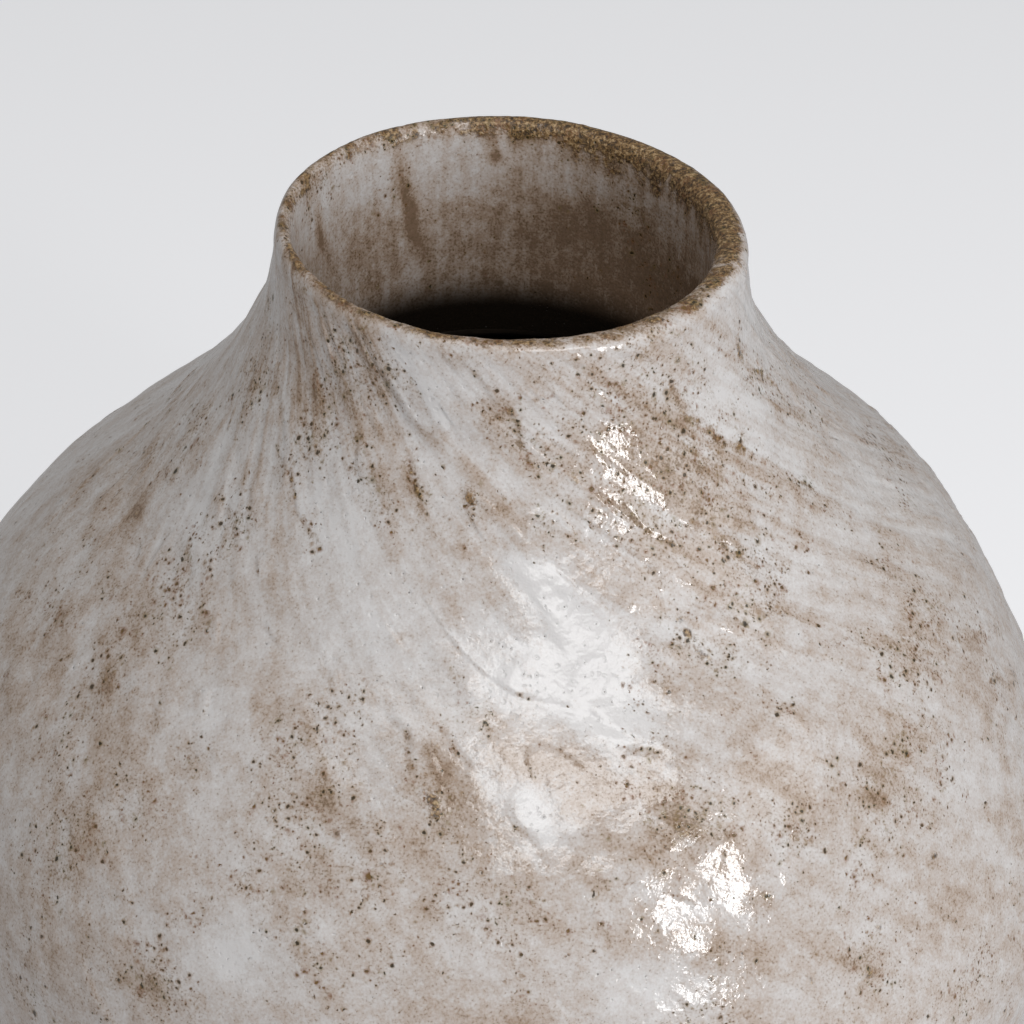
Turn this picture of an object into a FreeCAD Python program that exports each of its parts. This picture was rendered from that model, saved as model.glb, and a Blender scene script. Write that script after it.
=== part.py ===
import FreeCAD
import Part
import math
import os

# A moon jar in speckled stoneware, as the potter builds it: two thrown bowls keyed rim to rim at the
# belly with a coil pressed over the seam inside, a turned foot ring below, and above them a collar
# let through the shoulder, a coil dragged down over that joint with the fingers, and a lip coil.
# All lengths are in millimetres. The origin is under the middle of the jar, on the surface that it
# stands on. +Z is up, and seen from the jar's front +X is to the right and -Y is towards the viewer.

# Whole jar.
jar_height = 350.0
belly_radius = 172.0
belly_height = 155.0
wall = 9.0

# Foot ring, turned round and true on the wheel.
foot_height = 12.0
foot_radius = 66.0
foot_flare = 2.0
foot_width = 12.0
foot_edge_round = 2.0

# Floor of the lower bowl, and how far the bowl stands out past the foot ring.
floor_thickness = 11.0
floor_radius = 54.0
foot_overhang = 1.4

# Belly joint: a key along the lower rim, its groove in the upper rim, and the coil over the seam.
key_width = 3.4
key_height = 3.2
key_draft = 0.6
seam_coil_height = 20.0
seam_coil_depth = 6.0
seam_coil_edge = 1.2

# Thickness of the shoulder coil's thin edges, down on the bowl and up on the neck.
coil_edge = 1.4

# Collar and lip. The bore lies to the left in the collar, so the lip is thicker on the right.
neck_radius = 64.4
collar_wall = 7.4
collar_end_drop = 3.0
bore_shift = 1.9
lip_height = 8.0

# The lip's crest is not level: it is highest at the back left, and sinks by twice this at the front.
crest_tilt = 0.95
crest_tilt_angle = math.radians(134.0)

# Clearance that slip fills between curved faces.
slip_gap = 0.3

# How far the hand-made rings are from round and true.
neck_lean_right = 3.4
neck_lean_back = 3.3
shoulder_bulge_left = 5.9
neck_oval = 2.0
belly_oval = 0.8
oval_angle = math.radians(127.0)

# The shoulder coil's outline, as (radius share, height share) from the belly (1, 0) to the seat of
# the lip (0, 1): its toe on the bowl, two points of its hollow sweep, and its top on the collar.
coil_outline_shares = ((0.462, 0.592), (0.28, 0.69), (0.1, 0.824), (0.0155, 0.936))
# The crown of the upper bowl, which the coil hides: how high its opening for the collar lies, from
# the coil's toe (0) to its top (1), and the run and the rise with which the crown ends there.
crown_height_share = 0.5
crown_end_shares = (-1.0, 0.35)
# The drift to the left is over by this share of the height from belly to lip.
shoulder_share = 0.6
# How full the lip is: 1 gives an ellipse, and less makes it squarer.
lip_fullness_share = 0.6
# How closely rings are set along a bowl and along a shorter form, and points along a ring.
rings_in_bowl = 13
rings_in_coil = 7
ring_points = 24

# Heights and radii that follow from the sizes above.
lip_seat_height = jar_height - lip_height
foot_top_radius = foot_radius + foot_flare
bowl_foot_radius = foot_top_radius + foot_overhang
floor_height = foot_height + floor_thickness
bore_radius = neck_radius - collar_wall
inner_belly_radius = belly_radius - wall


def between(low, high, share):
    """The value that lies at a share of the way from low to high."""
    return low + (high - low) * share


def bowl_curve(end):
    """Pairs along the quarter of an ellipse that is upright at the belly and ends at this pair."""
    last_turn = math.acos(end[0] / belly_radius)
    rise = (end[1] - belly_height) / math.sin(last_turn)
    turns = [last_turn * i / (rings_in_bowl - 1) for i in range(rings_in_bowl)]
    return [(belly_radius * math.cos(turn), belly_height + rise * math.sin(turn)) for turn in turns]


def smooth(outline, count, lead_in, lead_out):
    """Sets count pairs evenly along a smooth curve through the outline, which begins and ends in
    the directions lead_in and lead_out, each a run and a rise."""
    curve = Part.BSplineCurve()
    points = [FreeCAD.Vector(radius, 0.0, height) for radius, height in outline]
    start = FreeCAD.Vector(lead_in[0], 0.0, lead_in[1])
    end = FreeCAD.Vector(lead_out[0], 0.0, lead_out[1])
    curve.interpolate(Points=points, InitialTangent=start, FinalTangent=end)
    return [(p.x, p.z) for p in curve.discretize(Number=count)]


def direction(start, end):
    """The run and the rise from one pair to the next."""
    return end[0] - start[0], end[1] - start[1]


def inset(outline, depth):
    """The outline's inner points moved inwards by a depth, square to its own slope. Its two ends
    only steer the slope, and are left out."""
    moved = []
    for before, (radius, height), after in zip(outline, outline[1:], outline[2:]):
        run, rise = direction(before, after)
        length = math.hypot(run, rise)
        moved.append((radius - depth * rise / length, height + depth * run / length))
    return moved


def radius_at(outline, height):
    """The radius of an outline, given from low to high, at this height."""
    for low, high in zip(outline, outline[1:]):
        if height <= high[1]:
            return between(low[0], high[0], (height - low[1]) / (high[1] - low[1]))
    return outline[-1][0]


def lean(height):
    """How far a ring's middle lies from the jar's axis: nothing up to the belly, then a slow drift
    to the left at the shoulder, and to the right and the back at the neck."""
    rise = max(0.0, (height - belly_height) / (jar_height - belly_height))
    swing = math.sin(math.pi * min(1.0, rise / shoulder_share)) ** 2
    settle = rise * rise * (3.0 - 2.0 * rise)
    return neck_lean_right * settle - shoulder_bulge_left * swing, neck_lean_back * settle


def oval(height):
    """Half the difference between a ring's long and short radius at this height."""
    rise = max(0.0, (height - belly_height) / (jar_height - belly_height))
    sink = min(1.0, max(0.0, (height - foot_height) / (belly_height - foot_height)))
    return between(belly_oval * sink, neck_oval, rise)


def ring(radius, height, bore=0.0, crest=0.0):
    """One closed, smooth ring of the jar. bore says how far it belongs to the shifted bore, and
    crest how far to the uneven crest of the lip, each from 0 to 1."""
    middle_x, middle_y = lean(height)
    points = []
    for i in range(ring_points):
        turn = 2.0 * math.pi * i / ring_points
        reach = radius + oval(height) * math.cos(2.0 * (turn - oval_angle))
        x = middle_x - bore_shift * bore + reach * math.cos(turn)
        y = middle_y + reach * math.sin(turn)
        dip = crest_tilt * (1.0 - math.cos(turn - crest_tilt_angle))
        points.append(FreeCAD.Vector(x, y, height - crest * dip))
    curve = Part.BSplineCurve()
    curve.interpolate(Points=points, PeriodicFlag=True)
    return Part.Wire([curve.toShape()])


def rings(outline):
    """The rings through an outline's (radius, height) pairs."""
    return [ring(radius, height) for radius, height in outline]


def skin(*stretches, capped=False):
    """A solid with a face over each stretch of rings. Together the stretches go once round the
    solid's section, or in a capped one from the disc that closes it below to the one above."""
    faces = []
    for stretch in stretches:
        faces += Part.makeLoft(stretch, False, len(stretch) == 2).Faces
    if capped:
        faces += [Part.Face(stretches[0][0]), Part.Face(stretches[-1][-1])]
    shell = Part.Shell(faces)
    shell.sewShape()
    solid = Part.Solid(shell)
    if solid.Volume < 0.0:
        solid.reverse()
    return solid


# The outside: the lower bowl from the belly down to the foot, the upper one from the belly up to the
# toe of the shoulder coil, and the coil from there to its top on the collar.
belly_point = (belly_radius, belly_height)
lip_point = (neck_radius, lip_seat_height)
coil_points = [(between(neck_radius, belly_radius, radius), between(belly_height, lip_seat_height, height))
               for radius, height in coil_outline_shares]
toe, coil_top = coil_points[0], coil_points[-1]
lower_outside = bowl_curve((bowl_foot_radius, foot_height))
upper_outside = bowl_curve(toe)
toe_direction = direction(upper_outside[-2], toe)
coil_outside = smooth(coil_points, rings_in_coil, toe_direction, direction(coil_top, lip_point))

# The crown under the shoulder coil, with the opening that the collar goes through.
core_radius = coil_top[0] - coil_edge
opening_radius = core_radius + slip_gap
crown_start = (toe[0] - coil_edge, toe[1])
crown_end = (opening_radius, between(toe[1], coil_top[1], crown_height_share))
crown_outside = smooth([crown_start, crown_end], rings_in_coil, toe_direction, crown_end_shares)
collar_end_height = crown_end[1] - wall - collar_end_drop

# The inside, from the belly down to the floor, and from the belly up to the underside of the crown.
upright = (0.0, 1.0)
level = (1.0, 0.0)
inner_belly_point = (inner_belly_radius, belly_height)
lower_inset = [pair for pair in inset(lower_outside[::-1], wall) if pair[1] > floor_height + wall / 2.0]
lower_inside = smooth([(floor_radius, floor_height)] + lower_inset + [inner_belly_point],
                      rings_in_bowl, level, upright)
upper_inset = inset(upper_outside + crown_outside[1:], wall)
opening_low = (opening_radius, crown_end[1] - wall)
upper_inside = smooth([inner_belly_point] + upper_inset + [opening_low],
                      rings_in_bowl, upright, direction(upper_inset[-1], opening_low))


def foot_ring():
    """A turned ring, slightly flared towards the bowl, with softened edges where it stands."""
    solid = Part.makeCone(foot_radius, foot_top_radius, foot_height)
    solid = solid.cut(Part.makeCylinder(foot_radius - foot_width, foot_height))
    standing = [edge for edge in solid.Edges if edge.BoundBox.ZMax < foot_edge_round]
    return solid.makeFillet(foot_edge_round, standing)


def key_outline(grow):
    """The section of the belly key from outside to inside, wider all round by grow."""
    middle = (belly_radius + inner_belly_radius) / 2.0
    half_foot = key_width / 2.0 + grow
    half_top = half_foot - key_draft
    top = belly_height + key_height + grow
    return [(middle + half_foot, belly_height), (middle + half_top, top),
            (middle - half_top, top), (middle - half_foot, belly_height)]


def rim(grow):
    """The stretches over the belly joint, from the outside to the inside."""
    outline = [belly_point] + key_outline(grow) + [inner_belly_point]
    return [rings(pair) for pair in zip(outline, outline[1:])]


def lower_bowl():
    """The lower thrown bowl with its floor, and the key raised along its rim."""
    return skin(rings(lower_outside[::-1]), *rim(0.0), rings(lower_inside[::-1]), capped=True)


def upper_bowl():
    """The upper thrown bowl turned over, with the opening for the collar and a groove for the key."""
    return skin(
        rings(upper_outside),
        rings([toe, crown_start]),
        rings(crown_outside),
        rings([crown_end, opening_low]),
        rings(upper_inside[::-1]),
        *rim(slip_gap)[::-1],
    )


def seam_coil():
    """The coil pressed flat on the inside of the belly joint, with a round back."""
    half = seam_coil_height / 2.0
    inside = lower_inside + upper_inside[1:]
    face = []
    back = []
    for i in range(rings_in_coil):
        turn = math.pi * (i / (rings_in_coil - 1) - 0.5)
        height = belly_height + half * math.sin(turn)
        face_radius = radius_at(inside, height) - slip_gap
        depth = between(seam_coil_edge, seam_coil_depth, math.cos(turn))
        face.append((face_radius, height))
        back.append((face_radius - depth, height))
    return skin(rings(face), rings([face[-1], back[-1]]), rings(back), rings([back[0], face[0]]))


def shoulder_coil():
    """The coil pressed into the angle between collar and shoulder and dragged down over both."""
    under = [(crown_start[0] + slip_gap, crown_start[1])]
    under += [(radius, height + slip_gap) for radius, height in crown_outside[1:]]
    return skin(
        rings(coil_outside),
        rings([coil_top, (opening_radius, coil_top[1])]),
        rings([(opening_radius, coil_top[1]), under[-1]]),
        rings(under[::-1]),
        rings([under[0], toe]),
    )


def neck_collar():
    """The tube let through the shoulder: hidden in the coil below, and showing above it. Its end
    inside the jar is smoothed round."""
    middle = (core_radius + bore_radius) / 2.0
    half = (core_radius - bore_radius) / 2.0
    end = []
    for i in range(rings_in_coil):
        turn = math.pi * i / (rings_in_coil - 1)
        height = collar_end_height - half * math.sin(turn)
        end.append(ring(middle - half * math.cos(turn), height, bore=(1.0 + math.cos(turn)) / 2.0))
    bore_top = ring(bore_radius, lip_seat_height, bore=1.0)
    seat = ring(neck_radius, lip_seat_height)
    step = ring(*coil_top)
    core_top = ring(core_radius, coil_top[1])
    return skin([bore_top, end[0]], end, [end[-1], core_top],
                [core_top, step], [step, seat], [seat, bore_top])


def lip_coil():
    """The last coil on the collar, rounded over between finger and thumb to an uneven crest."""
    middle = (neck_radius + bore_radius) / 2.0
    half = (neck_radius - bore_radius) / 2.0
    crest = []
    for i in range(rings_in_coil):
        turn = math.pi * i / (rings_in_coil - 1)
        height = between(lip_seat_height, jar_height, math.sin(turn) ** lip_fullness_share)
        crest.append(ring(middle + half * math.cos(turn), height,
                          bore=(1.0 - math.cos(turn)) / 2.0, crest=math.sin(turn)))
    return skin(crest, [crest[-1], crest[0]])


pieces = {
    "foot_ring": foot_ring(),
    "lower_bowl": lower_bowl(),
    "upper_bowl": upper_bowl(),
    "seam_coil": seam_coil(),
    "shoulder_coil": shoulder_coil(),
    "neck_collar": neck_collar(),
    "lip_coil": lip_coil(),
}

os.makedirs("parts", exist_ok=True)
for name, shape in pieces.items():
    shape.exportStep("parts/" + name + ".step")
    print(name, "solids", len(shape.Solids), "valid", shape.isValid(), "volume", round(shape.Volume))
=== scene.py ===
import math

import bpy
import numpy as np
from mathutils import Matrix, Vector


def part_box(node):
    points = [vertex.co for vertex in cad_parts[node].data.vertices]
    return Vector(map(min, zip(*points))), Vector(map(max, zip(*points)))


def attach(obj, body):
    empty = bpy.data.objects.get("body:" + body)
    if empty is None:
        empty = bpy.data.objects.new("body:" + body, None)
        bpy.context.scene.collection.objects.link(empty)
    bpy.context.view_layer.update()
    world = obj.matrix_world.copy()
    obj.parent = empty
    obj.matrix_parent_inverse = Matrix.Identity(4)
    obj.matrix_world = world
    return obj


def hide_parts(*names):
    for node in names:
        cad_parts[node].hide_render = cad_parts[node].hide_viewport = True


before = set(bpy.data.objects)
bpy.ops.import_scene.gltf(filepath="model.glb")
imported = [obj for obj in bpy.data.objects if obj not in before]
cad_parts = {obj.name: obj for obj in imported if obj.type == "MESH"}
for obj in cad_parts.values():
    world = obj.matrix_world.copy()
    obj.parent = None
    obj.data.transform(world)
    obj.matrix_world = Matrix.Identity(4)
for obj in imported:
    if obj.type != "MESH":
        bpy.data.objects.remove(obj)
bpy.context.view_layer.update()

# Lower bowl.
# Thrown stoneware with the floor in it, glazed milky white outside and washed thin with iron inside, in a
# near black that is partly painted shade.
# Its rim carries the key that the upper bowl is set on. All sizes are in millimetres, as in the CAD.
metre = 0.001
jar_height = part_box("lip_coil")[1].z / metre
lip_seat_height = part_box("lip_coil")[0].z / metre
collar_end_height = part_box("neck_collar")[0].z / metre
belly_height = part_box("upper_bowl")[0].z / metre
foot_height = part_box("foot_ring")[1].z / metre
belly_radius = 172.0
wall = 9.0
bowl_foot_radius = 69.4
floor_height = 23.0
floor_radius = 54.0
neck_radius = 64.4
bore_radius = 57.0
bore_shift = 1.9
lip_fullness_share = 0.6
crest_tilt = 0.95
crest_tilt_angle = math.radians(134.0)
neck_lean_right = 3.4
neck_lean_back = 3.3
shoulder_bulge_left = 5.9
shoulder_share = 0.6
neck_oval = 2.0
belly_oval = 0.8
oval_angle = math.radians(127.0)
coil_outline_shares = np.array([(0.462, 0.592), (0.28, 0.69), (0.1, 0.824), (0.0155, 0.936)])
key_width = 3.4
key_height = 3.2
key_draft = 0.6
pole_radius = 0.5


def soft_step(low, high, value):
    """0 below low and 1 above high, with a smooth S between them: t squared times (3 - 2t)."""
    t = np.clip((value - low) / (high - low), 0.0, 1.0)
    return t * t * (3.0 - 2.0 * t)


def ring_points(turn, radius, height, bore=0.0, crest=0.0):
    """Points of the jar's hand-made rings: a circle of this radius, stretched by cos 2(turn), with
    its middle leaning off the axis above the belly. bore shifts it to the left, and crest sinks it
    by a tilted plane."""
    rise = np.maximum(0.0, (height - belly_height) / (jar_height - belly_height))
    sink = np.clip((height - foot_height) / (belly_height - foot_height), 0.0, 1.0)
    swing = np.sin(np.pi * np.minimum(1.0, rise / shoulder_share)) ** 2
    settle = rise * rise * (3.0 - 2.0 * rise)
    low_oval = belly_oval * sink
    reach = radius + (low_oval + (neck_oval - low_oval) * rise) * np.cos(2.0 * (turn - oval_angle))
    x = neck_lean_right * settle - shoulder_bulge_left * swing - bore_shift * bore + reach * np.cos(turn)
    y = neck_lean_back * settle + reach * np.sin(turn)
    z = height - crest * crest_tilt * (1.0 - np.cos(turn - crest_tilt_angle)) + 0.0 * turn
    return np.stack([x, y, z], axis=-1)


def curve_through(points, lead_in, lead_out, count):
    """A smooth curve through points: a cubic between each two, whose slope at a point is the mean of
    its neighbours' directions, the nearer one weighing more."""
    points = np.array(points, float)
    gaps = np.diff(points, axis=0)
    size = np.linalg.norm(gaps, axis=1, keepdims=True)
    way = gaps / size
    middle = (way[:-1] * size[1:] + way[1:] * size[:-1]) / (size[:-1] + size[1:])
    ends = [np.array(lead) / np.linalg.norm(lead) for lead in (lead_in, lead_out)]
    slope = np.vstack([ends[0], middle, ends[1]])
    along = np.linspace(0.0, len(gaps), count)
    piece = np.minimum(along.astype(int), len(gaps) - 1)
    t = (along - piece)[:, None]
    start = points[piece] * (1.0 + 2.0 * t) * (1.0 - t) ** 2 + slope[piece] * size[piece] * t * (1.0 - t) ** 2
    end = points[piece + 1] * t * t * (3.0 - 2.0 * t) + slope[piece + 1] * size[piece] * t * t * (t - 1.0)
    return start + end


def bowl_curve(end, count):
    """The quarter of an ellipse that is upright at the belly and ends at this radius and height."""
    last = math.acos(end[0] / belly_radius)
    turns = np.linspace(0.0, last, count)
    rise = (end[1] - belly_height) / math.sin(last)
    return np.stack([belly_radius * np.cos(turns), belly_height + rise * np.sin(turns)], axis=1)


neck_foot = np.array([neck_radius, belly_height])
coil_span = np.array([belly_radius - neck_radius, lip_seat_height - belly_height])
coil_points = neck_foot + coil_outline_shares * coil_span
toe, coil_top = coil_points[0], coil_points[-1]
upper_curve = bowl_curve(toe, count=400)
lower_curve = bowl_curve((bowl_foot_radius, foot_height), count=800)
toe_way = upper_curve[-1] - upper_curve[-2]
top_way = np.array([neck_radius, lip_seat_height]) - coil_top
coil_curve = curve_through(coil_points, toe_way, top_way, count=400)

# The whole profile as one line, from the collar's end up its bore, over the lip, and down the outside
# to the foot. "way" is the length along it from the crest, less than zero in the bore.
lip_points = 241
lip_turn = np.linspace(math.pi, 0.0, lip_points)
lip_middle, lip_half = (neck_radius + bore_radius) / 2.0, (neck_radius - bore_radius) / 2.0
lip_curve = np.stack([lip_middle + lip_half * np.cos(lip_turn), lip_seat_height
                      + (jar_height - lip_seat_height) * np.sin(lip_turn) ** lip_fullness_share], axis=1)
bore_points = 300
bore_past_end = 4.0
bore_height = np.linspace(collar_end_height - bore_past_end, lip_seat_height, bore_points)
bore_line = np.stack([np.full(bore_points, bore_radius), bore_height], axis=1)[:-1]
outer_line = np.vstack([coil_curve[::-1], upper_curve[::-1][1:], lower_curve[1:]])
profile = np.vstack([bore_line, lip_curve, outer_line])
in_bore, past_lip = np.ones(len(bore_line)), np.zeros(len(outer_line))
profile_bore = np.concatenate([in_bore, (1.0 - np.cos(lip_turn)) / 2.0, past_lip])
profile_crest = np.concatenate([0.0 * in_bore, np.sin(lip_turn), past_lip])
profile_way = np.concatenate([[0.0], np.cumsum(np.hypot(*np.diff(profile, axis=0).T))])
profile_way -= profile_way[len(bore_line) + lip_points // 2]


def way_at(height, inside=False):
    """The way along the profile at which it passes this height, outside or in the bore."""
    low = profile_way < 0.0 if inside else profile_way > 0.0
    order = np.argsort(profile[low, 1])
    return float(np.interp(height, profile[low, 1][order], profile_way[low][order]))


def profile_at(way, column):
    """The profile's radius (column 0) or height (column 1) at a way along it."""
    return np.interp(way, profile_way, profile[:, column])


def skin_at(turn, way, relief=0.0):
    """The jar's smooth skin at a turn and a way along the profile, moved out by the relief along the
    profile's own normal, which is its tangent turned by a quarter."""
    radius = profile_at(way, 0)
    height = profile_at(way, 1)
    step = 0.6
    ahead, behind = way + step, way - step
    run = profile_at(ahead, 0) - profile_at(behind, 0)
    rise = profile_at(ahead, 1) - profile_at(behind, 1)
    size = np.maximum(np.hypot(run, rise), 1e-9)
    bore = np.interp(way, profile_way, profile_bore)
    crest = np.interp(way, profile_way, profile_crest)
    return ring_points(turn, radius - relief * rise / size, height + relief * run / size, bore, crest)


def lattice_noise(points, size, seed):
    """Smooth noise from about -1 to 1. Each corner of a lattice with cells of this size has a random
    slope, and inside a cell the eight slopes are blended by the S curve 6t^5 - 15t^4 + 10t^3."""
    dice = np.random.default_rng(seed)
    order = dice.permutation(256)
    slopes = dice.normal(size=(256, 3))
    slopes /= np.linalg.norm(slopes, axis=1, keepdims=True)
    place = points / size + dice.uniform(0.0, 200.0, 3)
    cell = np.floor(place).astype(int)
    part = place - cell
    blend = part ** 3 * (part * (part * 6.0 - 15.0) + 10.0)
    total = np.zeros(points.shape[:-1])
    for corner in np.ndindex(2, 2, 2):
        at = (cell + corner) & 255
        pick = order[(order[(order[at[..., 0]] + at[..., 1]) & 255] + at[..., 2]) & 255]
        weight = np.prod(np.where(corner, blend, 1.0 - blend), axis=-1)
        total += weight * np.einsum("...k,...k->...", slopes[pick], part - corner)
    return total * 1.7


def clouds(points, size, seed, layers=3):
    """Lattice noise with finer layers on top, each half the size and half the height."""
    total = 0.0
    for layer in range(layers):
        total = total + lattice_noise(points, size / 2.0 ** layer, seed + layer) / 2.0 ** layer
    return total


def drag_slope(turn):
    """The tangent of the angle at which the potter's drags leave the meridian: a mean and a cosine of
    the turn, which make 11 degrees at the back, 22 at the left, 45 in front and 34 at the right."""
    return np.tan(np.radians(28.0 + 18.0 * np.cos(turn - math.radians(290.0))))


drag_steps = 16
fan_radius = 110.0


def drag_place(turn, way):
    """Where the drag line through each point began. The turn is followed back up the line to the crest
    in short steps, each by the slope at its middle, and laid on a circle of the fan's radius with the
    way as the height. Noise read there and squeezed along the way runs in streaks along the drags."""
    start = turn + 0.0 * way
    at = way + 0.0 * turn
    step = np.maximum(at, 0.0) / drag_steps
    for _ in range(drag_steps):
        radius = profile_at(at - step / 2.0, 0)
        middle = start - drag_slope(start) * step / radius / 2.0
        start = start - drag_slope(middle) * step / radius
        at = at - step
    return np.stack([fan_radius * np.cos(start), fan_radius * np.sin(start), way + 0.0 * turn], axis=-1)


def streaks(drags, size, stretch, seed):
    """Lattice noise along the drags, this many times as long as it is wide."""
    return lattice_noise(drags * [1.0, 1.0, 1.0 / stretch], size, seed)


def dabs(turn, way, places):
    """Soft patches, each (turn in degrees, way in mm, half width across the drags, half length along
    them, strength): a bell of the distance, measured across and along the drags."""
    radius = profile_at(way, 0)
    total = np.zeros(np.broadcast(turn, way).shape)
    for at_turn, at_way, across, along, strength in places:
        aside = (turn - math.radians(at_turn) + math.pi) % (2.0 * math.pi) - math.pi
        slope = drag_slope(math.radians(at_turn))
        size = math.hypot(1.0, slope)
        east, down = aside * radius, way - at_way
        lengthwise = (east * slope + down) / size
        crosswise = (east - down * slope) / size
        total += strength * np.exp(-(crosswise / across) ** 2 - (lengthwise / along) ** 2)
    return total


def fold_line(turn, way, places):
    """The signed distance in mm across a line through places of (turn in degrees, way in mm), more
    than zero on its upper right, and the share of the line's length at which the nearest point lies."""
    radius = profile_at(way, 0)
    best = np.full(np.broadcast(turn, way).shape, 1e6)
    share = np.zeros_like(best)
    for i, (start, end) in enumerate(zip(places, places[1:])):
        aside = (turn - math.radians(start[0]) + math.pi) % (2.0 * math.pi) - math.pi
        run = math.radians(end[0] - start[0]) * radius
        fall = end[1] - start[1]
        east, down = aside * radius, way - start[1]
        length = np.hypot(run, fall)
        at = np.clip((east * run + down * fall) / length ** 2, 0.0, 1.0)
        gap = np.hypot(east - at * run, down - at * fall)
        side = np.sign(east * fall - down * run)
        nearer = gap < np.abs(best)
        best = np.where(nearer, gap * side, best)
        share = np.where(nearer, (i + at) / (len(places) - 1), share)
    return best, share


# Where the glaze lies thin and dark, with one patch of painted shade among these, and where thick
# and white, seen in the photograph and written as (turn, way, half width across, half length along,
# strength).
thin_and_shaded_places = [
    # The first patch, high on the left of the neck, is mostly painted shade on the side turned away from the
    # light.
    (210, 16, 9, 24, 0.32), (238, 19, 4, 20, 0.36), (222, 34, 10, 16, 0.2), (250, 28, 3, 10, 0.25),
    (303, 38, 20, 30, 0.18), (312, 66, 6, 14, 0.2), (268, 22, 3, 12, 0.25), (214, 118, 7, 20, 0.3),
    (210, 104, 5, 8, 0.2), (250, 134, 14, 14, 0.25), (262, 112, 4, 10, 0.3), (263, 124, 6, 8, 0.3),
    (290, 131, 7, 11, 0.3), (314, 140, 9, 12, 0.25), (302, 128, 4, 10, 0.2), (333, 124, 8, 10, 0.2),
    (344, 142, 5, 14, 0.28), (224, 158, 12, 16, 0.3), (238, 178, 9, 10, 0.3), (296, 96, 8, 9, 0.15),
    (299, 86, 5, 8, 0.25), (198, 54, 4, 4, 0.35), (194, 93, 3, 4, 0.35), (340, 44, 5, 16, 0.2),
    (308, 184, 8, 8, 0.25), (205, 128, 10, 12, 0.2), (262, 142, 8, 12, 0.15),
]
thick_places = [
    (281, 76, 10, 16, 0.6), (276, 92, 11, 14, 0.6), (284, 96, 8, 12, 0.45), (275, 64, 5, 8, 0.5),
    (268, 86, 8, 12, 0.35), (275, 127, 5, 9, 0.5), (286, 172, 10, 8, 0.45), (250, 74, 16, 22, 0.3),
    (238, 86, 16, 22, 0.3), (232, 112, 12, 14, 0.3), (256, 92, 8, 18, 0.25), (327, 36, 6, 18, 0.5),
    (345, 20, 12, 22, 0.4), (350, 80, 20, 40, 0.3), (320, 90, 14, 20, 0.2), (310, 105, 12, 12, 0.2),
    (252, 14, 6, 12, 0.35), (262, 32, 4, 8, 0.3), (240, 54, 8, 10, 0.25), (280, 50, 6, 10, 0.15),
    (205, 60, 14, 16, 0.2), (200, 76, 14, 14, 0.2), (245, 170, 14, 12, 0.25), (268, 160, 10, 12, 0.2),
    (330, 165, 16, 12, 0.25),
]
# Where iron specks crowd, and where the iron breaks out as ochre crumbs.
speck_places = [
    (303, 36, 20, 30, 0.6), (296, 52, 12, 14, 0.3), (224, 41, 7, 8, 0.9), (232, 20, 14, 14, 0.3),
    (240, 46, 5, 8, 0.5), (220, 54, 5, 6, 0.4), (234, 64, 5, 6, 0.4), (264, 46, 2, 3, 0.9),
    (252, 44, 3, 7, 0.6), (272, 28, 3, 10, 0.6), (333, 66, 4, 7, 0.7), (340, 38, 8, 16, 0.45),
    (312, 72, 4, 8, 0.5), (298, 88, 4, 8, 0.9), (263, 122, 5, 8, 0.9), (248, 132, 10, 12, 0.4),
    (258, 140, 8, 12, 0.45), (291, 132, 8, 10, 0.6), (302, 140, 5, 12, 0.45), (314, 142, 8, 12, 0.45),
    (312, 85, 2, 3, 0.6), (319, 104, 2, 3, 0.5), (233, 125, 5, 6, 0.4), (215, 122, 7, 16, 0.4),
    (210, 95, 5, 10, 0.25), (218, 72, 5, 5, 0.35), (211, 81, 2, 2, 0.6), (224, 158, 10, 14, 0.45),
    (247, 150, 6, 10, 0.4), (238, 176, 6, 10, 0.4), (308, 182, 8, 8, 0.6), (343, 156, 4, 6, 0.5),
    (332, 128, 6, 8, 0.4), (345, 140, 8, 10, 0.3), (225, 170, 6, 8, 0.4),
]
crumb_places = [
    (298, 85, 2, 4, 0.95), (299, 92, 2, 3, 0.8), (297, 79, 2, 3, 0.5), (263, 122, 2.5, 5, 1.1),
    (262, 107, 2, 4, 0.6), (258, 106, 2, 3, 0.4), (264, 46, 2, 2.5, 0.9), (333, 25, 2, 2.5, 0.9),
    (290, 133, 3, 7, 0.55), (297, 133, 3, 4, 0.45), (284, 38, 2.5, 3, 0.5), (286, 31, 3, 4, 0.5),
    (303, 28, 4, 6, 0.35), (332, 124, 2.5, 4, 0.45), (343, 155, 2, 4, 0.5), (234, 125, 2, 4, 0.45),
    (245, 134, 1.5, 5, 0.45), (259, 138, 2, 6, 0.4), (194, 93, 1.5, 2.5, 0.6), (198, 54, 1.5, 3, 0.6),
    (224, 96, 1.2, 1.2, 0.7), (312, 85, 1, 2, 0.6), (320, 170, 1.5, 2, 0.7), (308, 186, 4, 4, 0.7),
    (302, 181, 2, 4, 0.5), (310, 177, 1.5, 3, 0.6), (236, 175, 2, 5, 0.4), (340, 36, 2, 8, 0.35),
    (224, 42, 4, 5, 0.35), (302, 142, 2, 5, 0.4), (315, 143, 5, 5, 0.3),
]
# Where the drags left a comb of ridges, and where glaze dripped down the bore.
combed_places = [(212, 34, 34, 44, 1.25), (196, 70, 26, 40, 0.6)]
drip_places = [(118, -24, 2.2, 20, 0.8), (150, -24, 2.0, 9, 0.7), (92, -13, 2.0, 3, 0.9)]
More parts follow.
